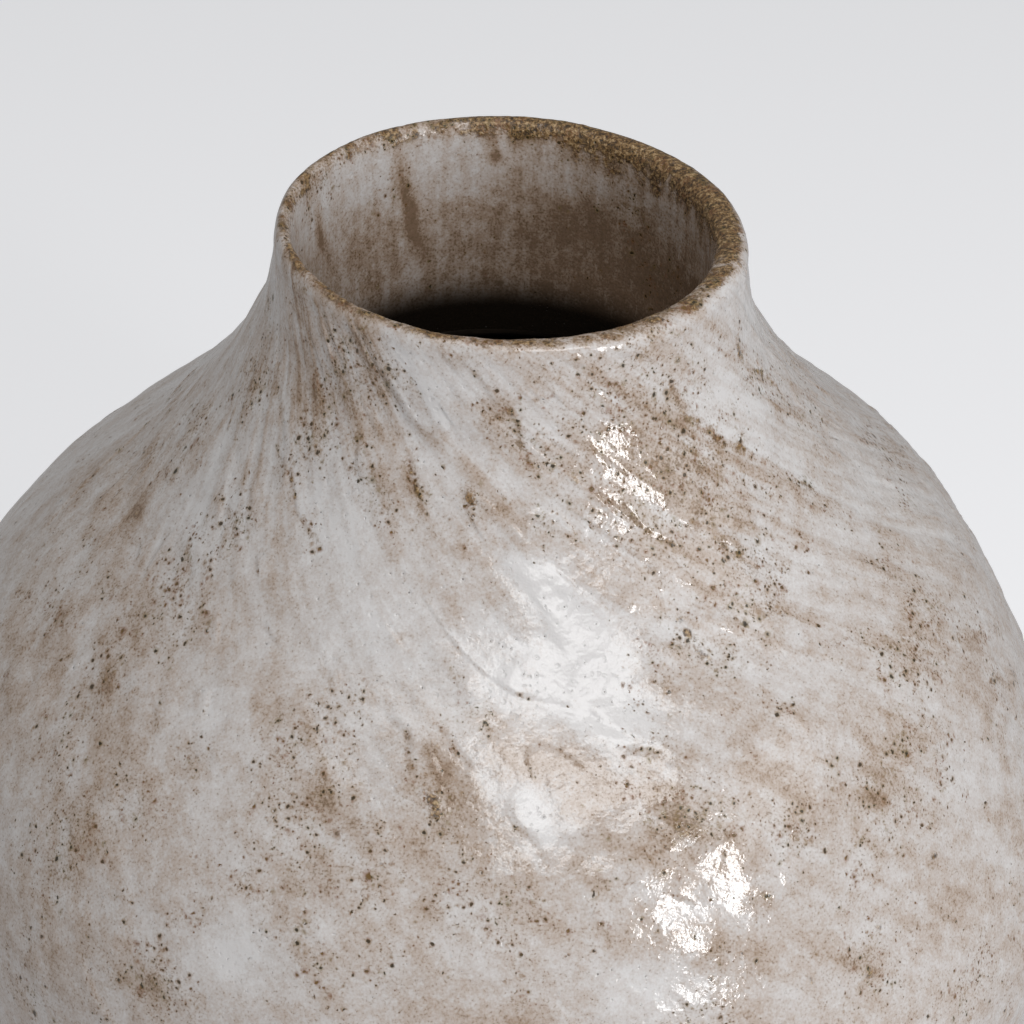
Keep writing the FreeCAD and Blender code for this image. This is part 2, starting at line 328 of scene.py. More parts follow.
# Folds that the drags left, as lines of (turn, way), each with the height of its upper right side
# above its lower left one, how much rust breaks out along it, and half the width of its step.
folds = [
    ([(308, 21), (311, 30), (316, 38), (321, 46), (326, 53), (330, 58)], 0.42, 1.0, 0.9),
    ([(291, 48), (295, 55), (299, 61), (301, 64)], 0.35, 0.8, 0.9),
    ([(308, 60), (310, 66), (312, 72), (314, 76)], 0.22, 0.8, 0.9),
    ([(268, 16), (270, 22), (272, 28), (275, 36)], 0.3, 0.9, 0.9),
    ([(260, 10), (264, 14), (268, 19)], 0.3, 0.3, 0.9),
    ([(228, 8), (236, 15), (244, 22), (250, 28), (255, 34)], 0.5, 0.15, 2.0),
    ([(240, 9), (247, 16), (254, 24), (258, 30)], 0.35, 0.1, 1.5),
    ([(249, 38), (252, 43), (254, 49)], 0.25, 0.9, 0.9),
    ([(236, 35), (237, 42), (240, 48)], 0.25, 0.7, 0.9),
    ([(216, 48), (222, 53), (228, 59), (236, 66)], 0.28, 0.8, 0.9),
    ([(208, 34), (214, 41), (220, 48)], 0.28, 0.3, 0.9),
    ([(212, 69), (216, 72), (221, 76)], 0.2, 0.5, 0.9),
    ([(210, 81), (213, 86), (217, 93)], 0.2, 0.5, 0.9),
    ([(255, 101), (258, 107), (261, 116)], 0.4, 0.5, 0.9),
    ([(262, 102), (265, 107), (268, 113)], 0.2, 0.5, 0.9),
    ([(280, 103), (284, 107), (288, 112), (290, 117)], 0.5, 0.4, 1.2),
    ([(268, 60), (273, 65), (280, 69)], 0.7, 0.0, 3.5),
    ([(274, 69), (277, 78), (281, 88)], 0.9, 0.0, 4.0),
    ([(271, 118), (273, 126), (276, 136)], 0.35, 0.5, 0.9),
    ([(331, 60), (333, 66), (335, 72)], 0.15, 0.8, 0.9),
    ([(338, 130), (344, 139), (350, 150)], 0.3, 0.6, 0.9),
    ([(341, 150), (344, 155), (346, 160)], 0.25, 0.7, 0.9),
    ([(334, 27), (339, 34), (343, 42), (347, 54)], 0.2, 0.5, 0.9),
    ([(297, 150), (298, 155), (299, 160)], 0.25, 0.5, 0.9),
    ([(301, 151), (302, 158)], 0.25, 0.5, 0.9),
    ([(280, 148), (282, 154), (284, 159)], 0.3, 0.2, 0.9),
    ([(302, 138), (303, 143), (305, 149)], 0.1, 0.6, 0.9),
]


def glaze_layers(turn, way, drags):
    """The relief in mm and the glaze at each point: how thin it lies, how crowded its specks are and
    how much rust breaks out, each from about 0 to 1. Each is a sum of noises, bands and places.
    The thinness also carries painted shade, down the bore and high on the left of the neck."""
    place = skin_at(turn, way)
    turn = turn + 0.0 * way
    way = way + 0.0 * turn
    outside = soft_step(2.0, 9.0, way)
    side = math.radians(1.4) * lattice_noise(place, 9.0, 22)
    turn_w, way_w = turn + side, way + 2.4 * lattice_noise(place, 11.0, 21)
    wide = clouds(place, 46.0, 1, 2)
    middle = streaks(drags, 13.0, 2.4, 3)
    narrow = streaks(drags, 5.0, 3.2, 5)
    fibre = streaks(drags, 2.2, 6.0, 7)
    lumps = clouds(place, 9.0, 9, 3)
    combed = soft_step(0.0, 1.0, dabs(turn, way, combed_places))
    comb = streaks(drags, 6.0, 12.0, 11)

    # Drags lap over one another like sheets: each lap falls slowly, then steps up in a tenth of it.
    laps = streaks(drags, 14.0, 3.2, 13) * 1.5 + wide * 0.4
    lap = laps % 1.0
    lap_share = soft_step(-0.1, 0.6, lattice_noise(place, 40.0, 15) + lattice_noise(place, 9.0, 16)) * outside
    lap_rise = soft_step(0.0, 0.1, lap) - lap
    lap_edge = np.exp(-((lap - 0.05) / 0.05) ** 2) * lap_share

    # Each fold steps up to its upper right, where white glaze pools, and shows rust along its foot.
    fold_rise, fold_rust, fold_pool = 0.0, 0.0, 0.0
    for places, lift, rust, width in folds:
        gap, share = fold_line(turn_w, way_w, places)
        fade = np.sin(np.pi * np.clip(share, 0.0, 1.0)) ** 0.5
        fold_rise = fold_rise + lift * fade * soft_step(-width, width, gap) * np.exp(-np.abs(gap) / 12.0)
        fold_rust = fold_rust + 1.5 * rust * fade * np.exp(-((gap + 0.4) / 1.1) ** 2)
        fold_pool = fold_pool + lift * fade * soft_step(0.0, 2.0, gap) * np.exp(-np.abs(gap) / 7.0)
    fold_rust = fold_rust * soft_step(-0.5, 0.3, lattice_noise(place, 2.6, 31))

    # Broad unevenness of the wall, the drags, and last the rings that the thrower's fingers left.
    relief = 0.75 * lattice_noise(place, 52.0, 40) + 0.26 * lattice_noise(place, 19.0, 41)
    relief = relief + outside * (0.2 * middle + 0.12 * narrow + 0.35 * lap_rise * lap_share + 0.08 * lumps)
    relief = relief + outside * (combed * (0.2 * comb + 0.06 * fibre) + fold_rise)
    relief = relief + 0.1 * np.sin(way / 3.1 + 2.0 * lattice_noise(place, 60.0, 43)) * outside

    thin = 0.42 + 0.08 * wide + 0.14 * middle + 0.13 * narrow + 0.07 * fibre + 0.1 * lumps
    thin = thin + combed * (0.16 * comb + 0.12 * fibre) + 0.1 * lap_edge
    patchy = 0.8 + 0.5 * fibre + 0.6 * narrow + 0.5 * lumps
    # The listed thin patches darken, one of them as painted shade, and the thick ones whiten.
    thin = thin + dabs(turn_w, way_w, thin_and_shaded_places) * patchy * 0.8 - dabs(turn_w, way_w, thick_places) * 0.7
    thin = thin + 0.3 * fold_rust - 0.6 * fold_pool
    speck = 0.08 + 0.4 * soft_step(0.0, 0.8, clouds(place, 26.0, 50, 3) + 0.3 * narrow)
    speck = speck + dabs(turn_w, way_w, speck_places) + 0.4 * lap_edge + 0.9 * fold_rust
    speck = speck - 0.35 * dabs(turn_w, way_w, thick_places)
    rust = dabs(turn_w, way_w, crumb_places) + 0.6 * fold_rust + 0.2 * lap_edge * soft_step(0.0, 0.6, lumps)

    # The lip and the top of the bore, where the glaze ran off and the iron shows.
    lip_edge = 3.8 + 2.4 * lattice_noise(place, 8.0, 60) + 1.6 * soft_step(-0.3, 1.0, np.cos(turn))
    lip_band = soft_step(0.0, 1.0, (lip_edge - way) / 4.0) * soft_step(-9.0, -3.0, way)
    far_right = soft_step(0.2, 1.0, np.cos(turn - math.radians(38.0)))
    run = streaks(drags, 5.0, 7.0, 62)
    bore_run = 5.0 + 13.0 * far_right + 3.0 * run + 4.0 * lumps
    bore_band = soft_step(0.0, 1.0, (way + bore_run) / 12.0) * soft_step(4.0, 0.0, way)
    drips = dabs(turn_w, way, drip_places)
    inside = soft_step(0.0, -4.0, way)
    grit = 0.5 * lattice_noise(place, 3.0, 65) + 0.4 * lumps
    rust = rust + (0.5 + grit) * lip_band + 0.55 * bore_band * (0.4 + far_right) + 0.3 * drips * inside
    thin = thin + inside * (0.45 - thin) * 0.5
    # Down the bore the glaze is painted darker towards the bottom and on the right side, which faces away
    # from the light: painted shade, not thinner glaze.
    thin = thin + 0.3 * lip_band + inside * (0.3 * far_right - 0.1 + 0.1 * run + 0.7 * drips
                                             + 0.4 * soft_step(-12.0, -36.0, way))
    thin = thin + 0.3 * bore_band
    speck = speck + 0.8 * lip_band + 0.35 * bore_band
    relief = relief * soft_step(-30.0, 12.0, way) + (0.12 * lattice_noise(place, 2.0, 63)
                                                      + 0.2 * lattice_noise(place, 9.0, 64)) * lip_band
    glaze = np.clip(np.stack([thin, speck, rust], axis=-1), -0.5, 1.5)
    return relief, glaze


belly_draw_in = 0.7
belly_draw_reach = 60.0
lip_draw_in = 0.3
lip_draw_start = 7.0


def draw_in(way):
    """How far the skin is drawn in, so that its relief stays within the sizes of the CAD solid: most
    at the belly, as a bell of the height, and at the lip."""
    height = profile_at(way, 1)
    at_belly = np.exp(-((height - belly_height) / belly_draw_reach) ** 2)
    at_lip = soft_step(lip_seat_height - lip_draw_start, jar_height - 1.0, height)
    return belly_draw_in * at_belly + lip_draw_in * at_lip


plain_thinness = 0.6


def skin_strip(turns, start, end, rows):
    """A grid of the glazed skin over this stretch of the profile, with one more row past each end, then
    the glaze and the drag places of its own rows, and the number of its material."""
    step = (end - start) / (rows - 1)
    way = (start + step * np.arange(-1, rows + 1))[:, None]
    turn = (np.arange(turns) * 2.0 * math.pi / turns)[None, :]
    drags = drag_place(turn, way)
    relief, glaze = glaze_layers(turn, way, drags)
    return skin_at(turn, way, relief - draw_in(way)), glaze[1:-1], drags[1:-1], 0


def plain_strip(turns, pairs, before=None, after=None, finish=0):
    """A grid of plain rings through (radius, height) pairs, with one more row past each end. before
    and after are the strips that it joins. finish is its material: 0 the glaze, 1 the dark wash with painted
    shade."""
    pairs = np.array(pairs, float).reshape(-1, 2)
    turn = (np.arange(turns) * 2.0 * math.pi / turns)[None, :]
    rows = ring_points(turn, pairs[:, :1], pairs[:, 1:])
    glaze = np.zeros(rows.shape)
    glaze[..., 0] = plain_thinness
    drags = rows.copy()
    if before:
        rows = np.concatenate([before[0][-2:-1], rows])
        glaze = np.concatenate([before[1][-1:], glaze])
        drags = np.concatenate([before[2][-1:], drags])
    if after:
        rows = np.concatenate([rows, after[0][1:2]])
        glaze = np.concatenate([glaze, after[1][:1]])
        drags = np.concatenate([drags, after[2][:1]])
    above, below = 2.0 * rows[:1] - rows[1:2], 2.0 * rows[-1:] - rows[-2:-1]
    return np.concatenate([above, rows, below]), glaze, drags, finish


def clay_piece(name, strips, capped=False):
    """A closed mesh from grids that go round the section of a piece, each beginning with the row that
    ends the one before. A capped section ends in two poles instead of meeting itself. Corner normals
    come from each grid's own slopes, so the glaze runs on from piece to piece without a seam."""
    turns = strips[0][0].shape[1]
    rows, glaze, drags, quads, normals, finishes = [], [], [], [], [], []
    count = 0
    total = sum(len(strip[0]) - 3 for strip in strips) + (1 if capped else 0)
    column = np.arange(turns)
    right = (column + 1) % turns
    for i, (grid, layer, drag, finish) in enumerate(strips):
        last = capped and i == len(strips) - 1
        keep = len(grid) - (2 if last else 3)
        rows.append(grid[1:1 + keep])
        glaze.append(layer[:keep])
        drags.append(drag[:keep])
        along = grid[2:] - grid[:-2]
        around = np.roll(grid, -1, axis=1) - np.roll(grid, 1, axis=1)
        normal = np.cross(along, around[1:-1])
        normal /= np.maximum(np.linalg.norm(normal, axis=-1, keepdims=True), 1e-12)
        for row in range(len(grid) - 3):
            top, low = (count + row) % total * turns, (count + row + 1) % total * turns
            quads.append(np.stack([top + column, low + column, low + right, top + right], axis=1))
            corner_normals = [normal[row], normal[row + 1], normal[row + 1][right], normal[row][right]]
            normals.append(np.stack(corner_normals, axis=1))
            finishes.append(np.full(turns, finish))
        count += len(grid) - 3
    points, layers, drags = (np.concatenate(part).reshape(-1, 3) for part in (rows, glaze, drags))
    faces = np.concatenate(quads).tolist()
    corners = np.concatenate(normals).reshape(-1, 3)
    if capped:
        for ring, way, strip in ((column, 1, strips[0]), (column + (total - 1) * turns, -1, strips[-1])):
            fan = np.stack([np.full(turns, len(points)), ring, np.roll(ring, -1)], axis=1)
            faces += fan[:, ::way].tolist()
            points, layers, drags = (np.vstack([part, part[ring].mean(axis=0)])
                                     for part in (points, layers, drags))
            corners = np.vstack([corners, np.tile([0.0, 0.0, float(way)], (3 * turns, 1))])
            finishes.append(np.full(turns, strip[3]))
    mesh = bpy.data.meshes.new(name)
    mesh.from_pydata(points * metre, [], faces)
    mesh.polygons.foreach_set("use_smooth", np.ones(len(faces), bool))
    mesh.polygons.foreach_set("material_index", np.concatenate(finishes).astype(np.int32))
    for title, values in (("glaze", layers), ("drags", drags * metre)):
        attribute = mesh.attributes.new(title, "FLOAT_VECTOR", "POINT")
        attribute.data.foreach_set("vector", values.astype(np.float32).ravel())
    mesh.normals_split_custom_set(corners)
    piece = bpy.data.objects.new(name, mesh)
    bpy.context.scene.collection.objects.link(piece)
    return piece


def colour(code):
    """A colour written as sRGB hex, turned to linear."""
    parts = [int(code[i:i + 2], 16) / 255.0 for i in (1, 3, 5)]
    return [p / 12.92 if p <= 0.04045 else ((p + 0.055) / 1.055) ** 2.4 for p in parts] + [1.0]


def add(tree, kind, sockets=None, stops=None, **settings):
    """Adds a node of this kind with its settings. A socket gets a value, an output, or another node,
    of which it takes the first output in use. stops are a ramp's (position, hex colour) pairs."""
    made = tree.nodes.new("ShaderNode" + kind)
    for name, value in settings.items():
        setattr(made, name, value)
    for name, value in (sockets or {}).items():
        if isinstance(value, bpy.types.Node):
            value = next(output for output in value.outputs if output.enabled)
        if isinstance(value, bpy.types.NodeSocket):
            tree.links.new(value, made.inputs[name])
        else:
            made.inputs[name].default_value = value
    for i, (position, code) in enumerate(stops or []):
        stretch = made.color_ramp.elements
        element = stretch[i] if i < len(stretch) else stretch.new(position)
        element.position = position
        element.color = colour(code)
    return made


def blank_material(name):
    """A new material, with its node tree and its shader."""
    material = bpy.data.materials.new(name)
    material.use_nodes = True
    return material, material.node_tree, material.node_tree.nodes["Principled BSDF"]


def fineness(size):
    """The scale of a noise whose grain has this size in mm."""
    return 0.5 / (size * metre)


def specks(tree, place, cell, small, large, reach, crowd):
    """Round specks scattered one to a cell of this size in mm, from the small to the large radius,
    each in a halo that reaches so many radii out. crowd is the share of cells that hold one. Gives how
    far a point is inside a speck, inside the halo round it, and the speck's own chance."""
    cells = add(tree, "TexVoronoi", {"Vector": place, "Scale": 1.0 / (cell * metre), "Randomness": 1.0})
    dice = add(tree, "SeparateColor", {"Color": cells.outputs["Color"]})
    growth = add(tree, "Math", {0: dice.outputs[1], 1: 2.0}, operation="POWER")
    radius = add(tree, "Math", {0: growth, 1: (large - small) / cell, 2: small / cell},
                 operation="MULTIPLY_ADD")
    there = add(tree, "Math", {0: dice.outputs[0], 1: crowd}, operation="LESS_THAN")
    share = add(tree, "Math", {0: cells.outputs["Distance"], 1: radius}, operation="DIVIDE")
    core = add(tree, "MapRange", {"Value": share, 1: 0.6, 2: 1.2, 3: 1.0, 4: 0.0},
               interpolation_type="SMOOTHSTEP")
    halo = add(tree, "MapRange", {"Value": share, 1: 0.7, 2: reach, 3: 1.0, 4: 0.0},
               interpolation_type="SMOOTHSTEP")
    return (add(tree, "Math", {0: core, 1: there}, operation="MULTIPLY"),
            add(tree, "Math", {0: halo, 1: there}, operation="MULTIPLY"), dice.outputs[2])


# Specks by size: the cell that holds one, the smallest and largest radius, all in mm, what is taken
# off their share of the cells, and how fast that share grows with the crowding.
speck_sizes = [(4.0, 0.45, 1.0, 0.06, 0.35), (2.0, 0.3, 0.62, 0.1, 1.4), (1.2, 0.16, 0.32, 0.06, 1.0)]
speck_reach = 2.4
speck_pit = 0.08
crater_reach = 3.6
crater_pit = 0.12
shake_reach = 1.1 * metre
# Where the painted shade down the bore begins and where it is full, as ways along the profile in metres.
bore_shade_start, bore_shade_end = -48.0 * metre, -62.0 * metre
glass_index = 1.52
# Ramps: the glaze from thick to thin, the crumbs, and the halos and cores of specks by their chance.
body_stops = [(0.0, "#dedcdc"), (0.3, "#d0cac7"), (0.55, "#c0b2a8"), (0.8, "#a89381"), (1.0, "#8a725e")]
ochre_stops = [(0.38, "#2b2014"), (0.46, "#5c4528"), (0.54, "#8f7047"), (0.66, "#c3a881")]
halo_stops = [(0.0, "#857548"), (0.5, "#8f6f45"), (1.0, "#86583c")]
core_stops = [(0.0, "#241f15"), (0.6, "#3a2e1b"), (1.0, "#74592e")]


def glaze_material(name, grit):
    """Milky tin-white glaze on iron-bearing stoneware: glossy like thick glass, white where it pooled and
    taupe where it lies thin, with black iron specks in ochre halos and pinholes. grit in mm is how
    high the crumbs of a bare edge stand."""
    material, tree, shader = blank_material(name)
    place = add(tree, "TexCoord").outputs["Object"]
    drags = add(tree, "Attribute", attribute_name="drags").outputs["Vector"]
    along = add(tree, "VectorMath", {0: drags, 1: (1.0, 1.0, 0.22)}, operation="MULTIPLY")
    layers = add(tree, "Attribute", attribute_name="glaze").outputs["Vector"]
    layers = add(tree, "SeparateXYZ", {"Vector": layers})
    thin, crowd, rust = layers.outputs[0], layers.outputs[1], layers.outputs[2]

    # How thin the glaze lies, with soft clouds, streaks along the drags and a fine grain.
    noises = ((place, 3.4, 4.0), (along, 1.3, 3.0), (place, 1.1, 2.0), (place, 0.36, 2.0))
    cloud, streak, mottle, grain = (
        add(tree, "TexNoise", {"Vector": where, "Scale": fineness(size), "Detail": detail, "Roughness": 0.6})
        for where, size, detail in noises)
    for noise, weight in ((cloud, 0.7), (streak, 0.35), (mottle, 0.45), (grain, 0.7)):
        thin = add(tree, "Math", {0: noise, 1: weight, 2: thin}, operation="MULTIPLY_ADD")
    thin = add(tree, "Math", {0: thin, 1: 1.1}, operation="SUBTRACT")
    body = add(tree, "ValToRGB", {"Fac": thin}, body_stops)

    # A pepper of tiny brown flecks where the glaze is thin or the specks crowd.
    pepper = add(tree, "Math", {0: crowd, 1: 0.12, 2: grain}, operation="MULTIPLY_ADD")
    pepper = add(tree, "Math", {0: thin, 1: 0.16, 2: pepper}, operation="MULTIPLY_ADD")
    pepper = add(tree, "MapRange", {"Value": pepper, 1: 0.68, 2: 0.84, 3: 0.0, 4: 0.45},
                 interpolation_type="SMOOTHSTEP")
    body = add(tree, "Mix", {"Factor": pepper, 6: body, 7: colour("#6b5b45")}, data_type="RGBA")

    # Rust and ochre in crumbs, brown to straw.
    crumb = add(tree, "TexNoise", {"Vector": place, "Scale": fineness(0.6), "Detail": 3.0, "Roughness": 0.7})
    patch = add(tree, "TexNoise", {"Vector": place, "Scale": fineness(1.5), "Detail": 3.0, "Roughness": 0.65})
    rusty = add(tree, "Math", {0: patch, 1: 4.0, 2: -2.0}, operation="MULTIPLY_ADD")
    rusty = add(tree, "Math", {0: rusty, 1: rust}, operation="ADD")
    rusty = add(tree, "Math", {0: rusty, 1: rust}, operation="MULTIPLY")
    rusty = add(tree, "MapRange", {"Value": rusty, 1: 0.12, 2: 0.7}, interpolation_type="SMOOTHSTEP")
    ochre = add(tree, "ValToRGB", {"Fac": crumb}, ochre_stops)
    rusty_share = add(tree, "Math", {0: rusty, 1: 0.9}, operation="MULTIPLY")
    body = add(tree, "Mix", {"Factor": rusty_share, 6: body, 7: ochre}, data_type="RGBA")

    # Specks in three sizes, on a place that is shaken a little so that they aren't quite round.
    shake = add(tree, "TexNoise", {"Vector": place, "Scale": fineness(0.7), "Detail": 1.0})
    shaken = add(tree, "VectorMath", {0: shake.outputs["Color"], 1: (0.5, 0.5, 0.5)}, operation="SUBTRACT")
    shaken = add(tree, "VectorMath", {0: shaken, 1: [shake_reach] * 3, 2: place}, operation="MULTIPLY_ADD")
    flock = add(tree, "MapRange", {"Value": cloud, 1: 0.38, 2: 0.62, 3: 0.3, 4: 1.7})
    flock = add(tree, "Math", {0: flock, 1: crowd}, operation="MULTIPLY")
    dark, warm, chance = 0.0, 0.0, None
    for cell, small, large, least, gain in speck_sizes:
        share = add(tree, "Math", {0: flock, 1: gain, 2: -least}, operation="MULTIPLY_ADD", use_clamp=True)
        core, halo, dice = specks(tree, shaken, cell, small, large, speck_reach, share)
        dark = add(tree, "Math", {0: dark, 1: core}, operation="MAXIMUM")
        warm = add(tree, "Math", {0: warm, 1: halo}, operation="MAXIMUM")
        chance = chance or dice
    halo_colour = add(tree, "ValToRGB", {"Fac": chance}, halo_stops)
    halo_share = add(tree, "Math", {0: warm, 1: 0.6}, operation="MULTIPLY")
    body = add(tree, "Mix", {"Factor": halo_share, 6: body, 7: halo_colour}, data_type="RGBA")
    dark_share = add(tree, "Math", {0: dark, 1: 0.9}, operation="MULTIPLY")
    core_colour = add(tree, "ValToRGB", {"Fac": chance}, core_stops)
    body = add(tree, "Mix", {"Factor": dark_share, 6: body, 7: core_colour}, data_type="RGBA")

    # Pinholes where gas broke through the thick white glaze.
    white = add(tree, "MapRange", {"Value": thin, 1: 0.35, 2: 0.05, 3: 0.0, 4: 0.4})
    pin, crater, _ = specks(tree, shaken, 1.7, 0.12, 0.3, crater_reach, white.outputs[0])
    pin_share = add(tree, "Math", {0: pin, 1: 0.75}, operation="MULTIPLY")
    body = add(tree, "Mix", {"Factor": pin_share, 6: body, 7: colour("#4c453d")}, data_type="RGBA")

    # Down the bore the glaze is painted darker, to the near black of the inside wash, towards the collar's
    # end: painted shade of the deep mouth.
    depth = add(tree, "SeparateXYZ", {"Vector": drags})
    painted_bore_shade = add(tree, "MapRange", {"Value": depth.outputs[2], 1: bore_shade_start, 2: bore_shade_end},
                 interpolation_type="SMOOTHSTEP")
    body = add(tree, "Mix", {"Factor": painted_bore_shade, 6: body, 7: colour("#1d1813")}, data_type="RGBA")
    tree.links.new(body.outputs[2], shader.inputs["Base Color"])

    # Gloss: satin where the glaze is thick and matt in the crumbs, and sharp where it lies thin.
    rough = add(tree, "MapRange", {"Value": thin, 1: 0.1, 2: 0.5, 3: 0.18, 4: 0.1})
    rough = add(tree, "Math", {0: rusty, 1: 0.25, 2: rough}, operation="MULTIPLY_ADD")
    tree.links.new(rough.outputs[0], shader.inputs["Roughness"])
    shader.inputs["IOR"].default_value = glass_index

    # Fine relief in mm: ripples, orange peel, crumbs, and the pits of specks and pinholes.
    ripple = add(tree, "TexNoise", {"Vector": place, "Scale": fineness(2.4), "Detail": 3.0,
                                    "Roughness": 0.55})
    peel = add(tree, "TexNoise", {"Vector": place, "Scale": fineness(0.7), "Detail": 2.0, "Roughness": 0.5})
    gritty = add(tree, "Math", {0: crumb, 1: rusty}, operation="MULTIPLY")
    height = 0.0
    for form, lift in ((ripple, 0.24), (mottle, 0.1), (peel, 0.05), (gritty, grit), (dark, -speck_pit),
                       (crater, -crater_pit)):
        height = add(tree, "Math", {0: form, 1: lift, 2: height}, operation="MULTIPLY_ADD")
    bump = add(tree, "Bump", {"Height": height, "Distance": metre, "Strength": 1.0})
    tree.links.new(bump.outputs["Normal"], shader.inputs["Normal"])
    return material


def wash_and_shade_material():
    """Iron wash on the inside, which the kiln left satin and dark. Its near black is partly the wash's own
    colour and partly painted shade, which makes the jar look deep.
    """
    material, tree, shader = blank_material("dark iron wash and painted shade")
    place = add(tree, "TexCoord").outputs["Object"]
    pool = add(tree, "TexNoise", {"Vector": place, "Scale": fineness(6.0), "Detail": 4.0, "Roughness": 0.6})
    body = add(tree, "ValToRGB", {"Fac": pool}, [(0.35, "#1d1813"), (0.5, "#2a231c"), (0.68, "#3b3229")])
    tree.links.new(body.outputs[0], shader.inputs["Base Color"])
    shader.inputs["Roughness"].default_value = 0.5
    bump = add(tree, "Bump", {"Height": pool, "Distance": 0.4 * metre, "Strength": 1.0})
    tree.links.new(bump.outputs["Normal"], shader.inputs["Normal"])
    return material


milky_glaze = glaze_material("milky speckled glaze", 0.25)
dark_wash_and_shade = wash_and_shade_material()


def glazed(piece, node, material):
    """Gives a piece its glaze and its inside wash with painted shade, and hands it to the frame in place of
    its CAD node.
    """
    piece.data.materials.append(material)
    piece.data.materials.append(dark_wash_and_shade)
    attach(piece, "root")
    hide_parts(node)


way_seat, way_top, way_toe = way_at(lip_seat_height), way_at(coil_top[1]), way_at(toe[1])
hair = 0.001
way_belly, way_foot = way_at(belly_height), way_at(foot_height + hair)
bowl_turns = 800
inner_belly_pair = (belly_radius - wall, belly_height)


def key_outline(grow):
    """The section of the key along the belly joint, from inside to outside, wider by grow."""
    middle, foot, top = belly_radius - wall / 2.0, key_width / 2.0 + grow, key_width / 2.0 + grow - key_draft
    rise = belly_height + key_height + grow
    return [(middle - foot, belly_height), (middle - top, rise),
            (middle + top, rise), (middle + foot, belly_height)]


def inset_curve(curve, depth):
    """A curve moved inwards, square to itself, by a depth."""
    slope = np.gradient(curve, axis=0)
    slope /= np.linalg.norm(slope, axis=1, keepdims=True)
    return curve + depth * np.stack([-slope[:, 1], slope[:, 0]], axis=1)


lower_inset = inset_curve(lower_curve[::-1], wall)
lower_inset = lower_inset[lower_inset[:, 1] > floor_height + wall / 2.0]
floor_round = curve_through([(floor_radius, floor_height), lower_inset[0]], (1.0, 0.0),
                            lower_inset[1] - lower_inset[0], count=10)
inside_start, keep_every = 40, 45
lower_inside = np.vstack([floor_round, lower_inset[inside_start::keep_every], [inner_belly_pair]])
outside = skin_strip(bowl_turns, way_belly, way_foot, rows=90)
glazed(clay_piece("lower_bowl_glazed", [
    plain_strip(bowl_turns, [(pole_radius, floor_height), (floor_radius, floor_height)], finish=1),
    plain_strip(bowl_turns, lower_inside, finish=1),
    plain_strip(bowl_turns, [inner_belly_pair] + key_outline(0.0), after=outside),
    outside,
    plain_strip(bowl_turns, [(pole_radius, foot_height)], before=outside),
], capped=True), "lower_bowl", milky_glaze)

# Upper bowl.
# The second thrown bowl, turned over and luted rim to rim on the first. A hole in its crown takes
# the collar, and the shoulder coil hides it from its toe upwards.
slip_gap = 0.3
coil_edge = 1.4
# The faces hidden between crown and coil lie this much lower than in the solids, so that they don't
# come through where the relief dips.
crown_sink = 1.6
crown_points = 60
crown_every = 12
crown_height_share = 0.5
crown_end_way = (-1.0, 0.35)
opening_margin = 3.0
crown_start = np.array([toe[0] - coil_edge, toe[1]])
opening_radius = coil_top[0] - coil_edge + slip_gap
crown_end = np.array([opening_radius, toe[1] + (coil_top[1] - toe[1]) * crown_height_share])
crown_curve = curve_through([crown_start, crown_end], toe_way, crown_end_way, crown_points)
upper_inset = inset_curve(np.vstack([upper_curve, crown_curve[1:]]), wall)
opening_low = (opening_radius, crown_end[1] - wall)
upper_inset = upper_inset[upper_inset[:, 0] > opening_radius + opening_margin]
upper_inside = np.vstack([[inner_belly_pair], upper_inset[keep_every::keep_every], [opening_low]])
outside = skin_strip(bowl_turns, way_toe, way_belly, rows=100)
glazed(clay_piece("upper_bowl_glazed", [
    outside,
    plain_strip(bowl_turns, key_outline(slip_gap)[::-1] + [inner_belly_pair], before=outside),
    plain_strip(bowl_turns, upper_inside, finish=1),
    plain_strip(bowl_turns, [opening_low, crown_end], finish=1),
    plain_strip(bowl_turns, crown_curve[::-crown_every] - [0.0, crown_sink], after=outside),
]), "upper_bowl", milky_glaze)

# Seam coil.
# A coil of the same clay pressed over the belly joint from inside and smoothed round.
seam_coil_height = 20.0
seam_coil_depth = 6.0
seam_coil_edge = 1.2
seam_turns = 360
seam_points = 15
seam_every = 20
coil_share = np.linspace(-0.5, 0.5, seam_points) * math.pi
coil_height = belly_height + seam_coil_height / 2.0 * np.sin(coil_share)
inside_line = np.vstack([lower_inset[::seam_every], [inner_belly_pair], upper_inset[keep_every::seam_every]])
face_radius = np.interp(coil_height, inside_line[:, 1], inside_line[:, 0]) - slip_gap
depth = seam_coil_edge + (seam_coil_depth - seam_coil_edge) * np.cos(coil_share)
back = np.stack([face_radius - depth, coil_height], axis=1)
face = np.stack([face_radius, coil_height], axis=1)[::-1]
glazed(clay_piece("seam_coil_pressed", [
    plain_strip(seam_turns, back, finish=1),
    plain_strip(seam_turns, [back[-1], face[0]], finish=1),
    plain_strip(seam_turns, face, finish=1),
    plain_strip(seam_turns, [face[-1], back[0]], finish=1),
]), "seam_coil", milky_glaze)

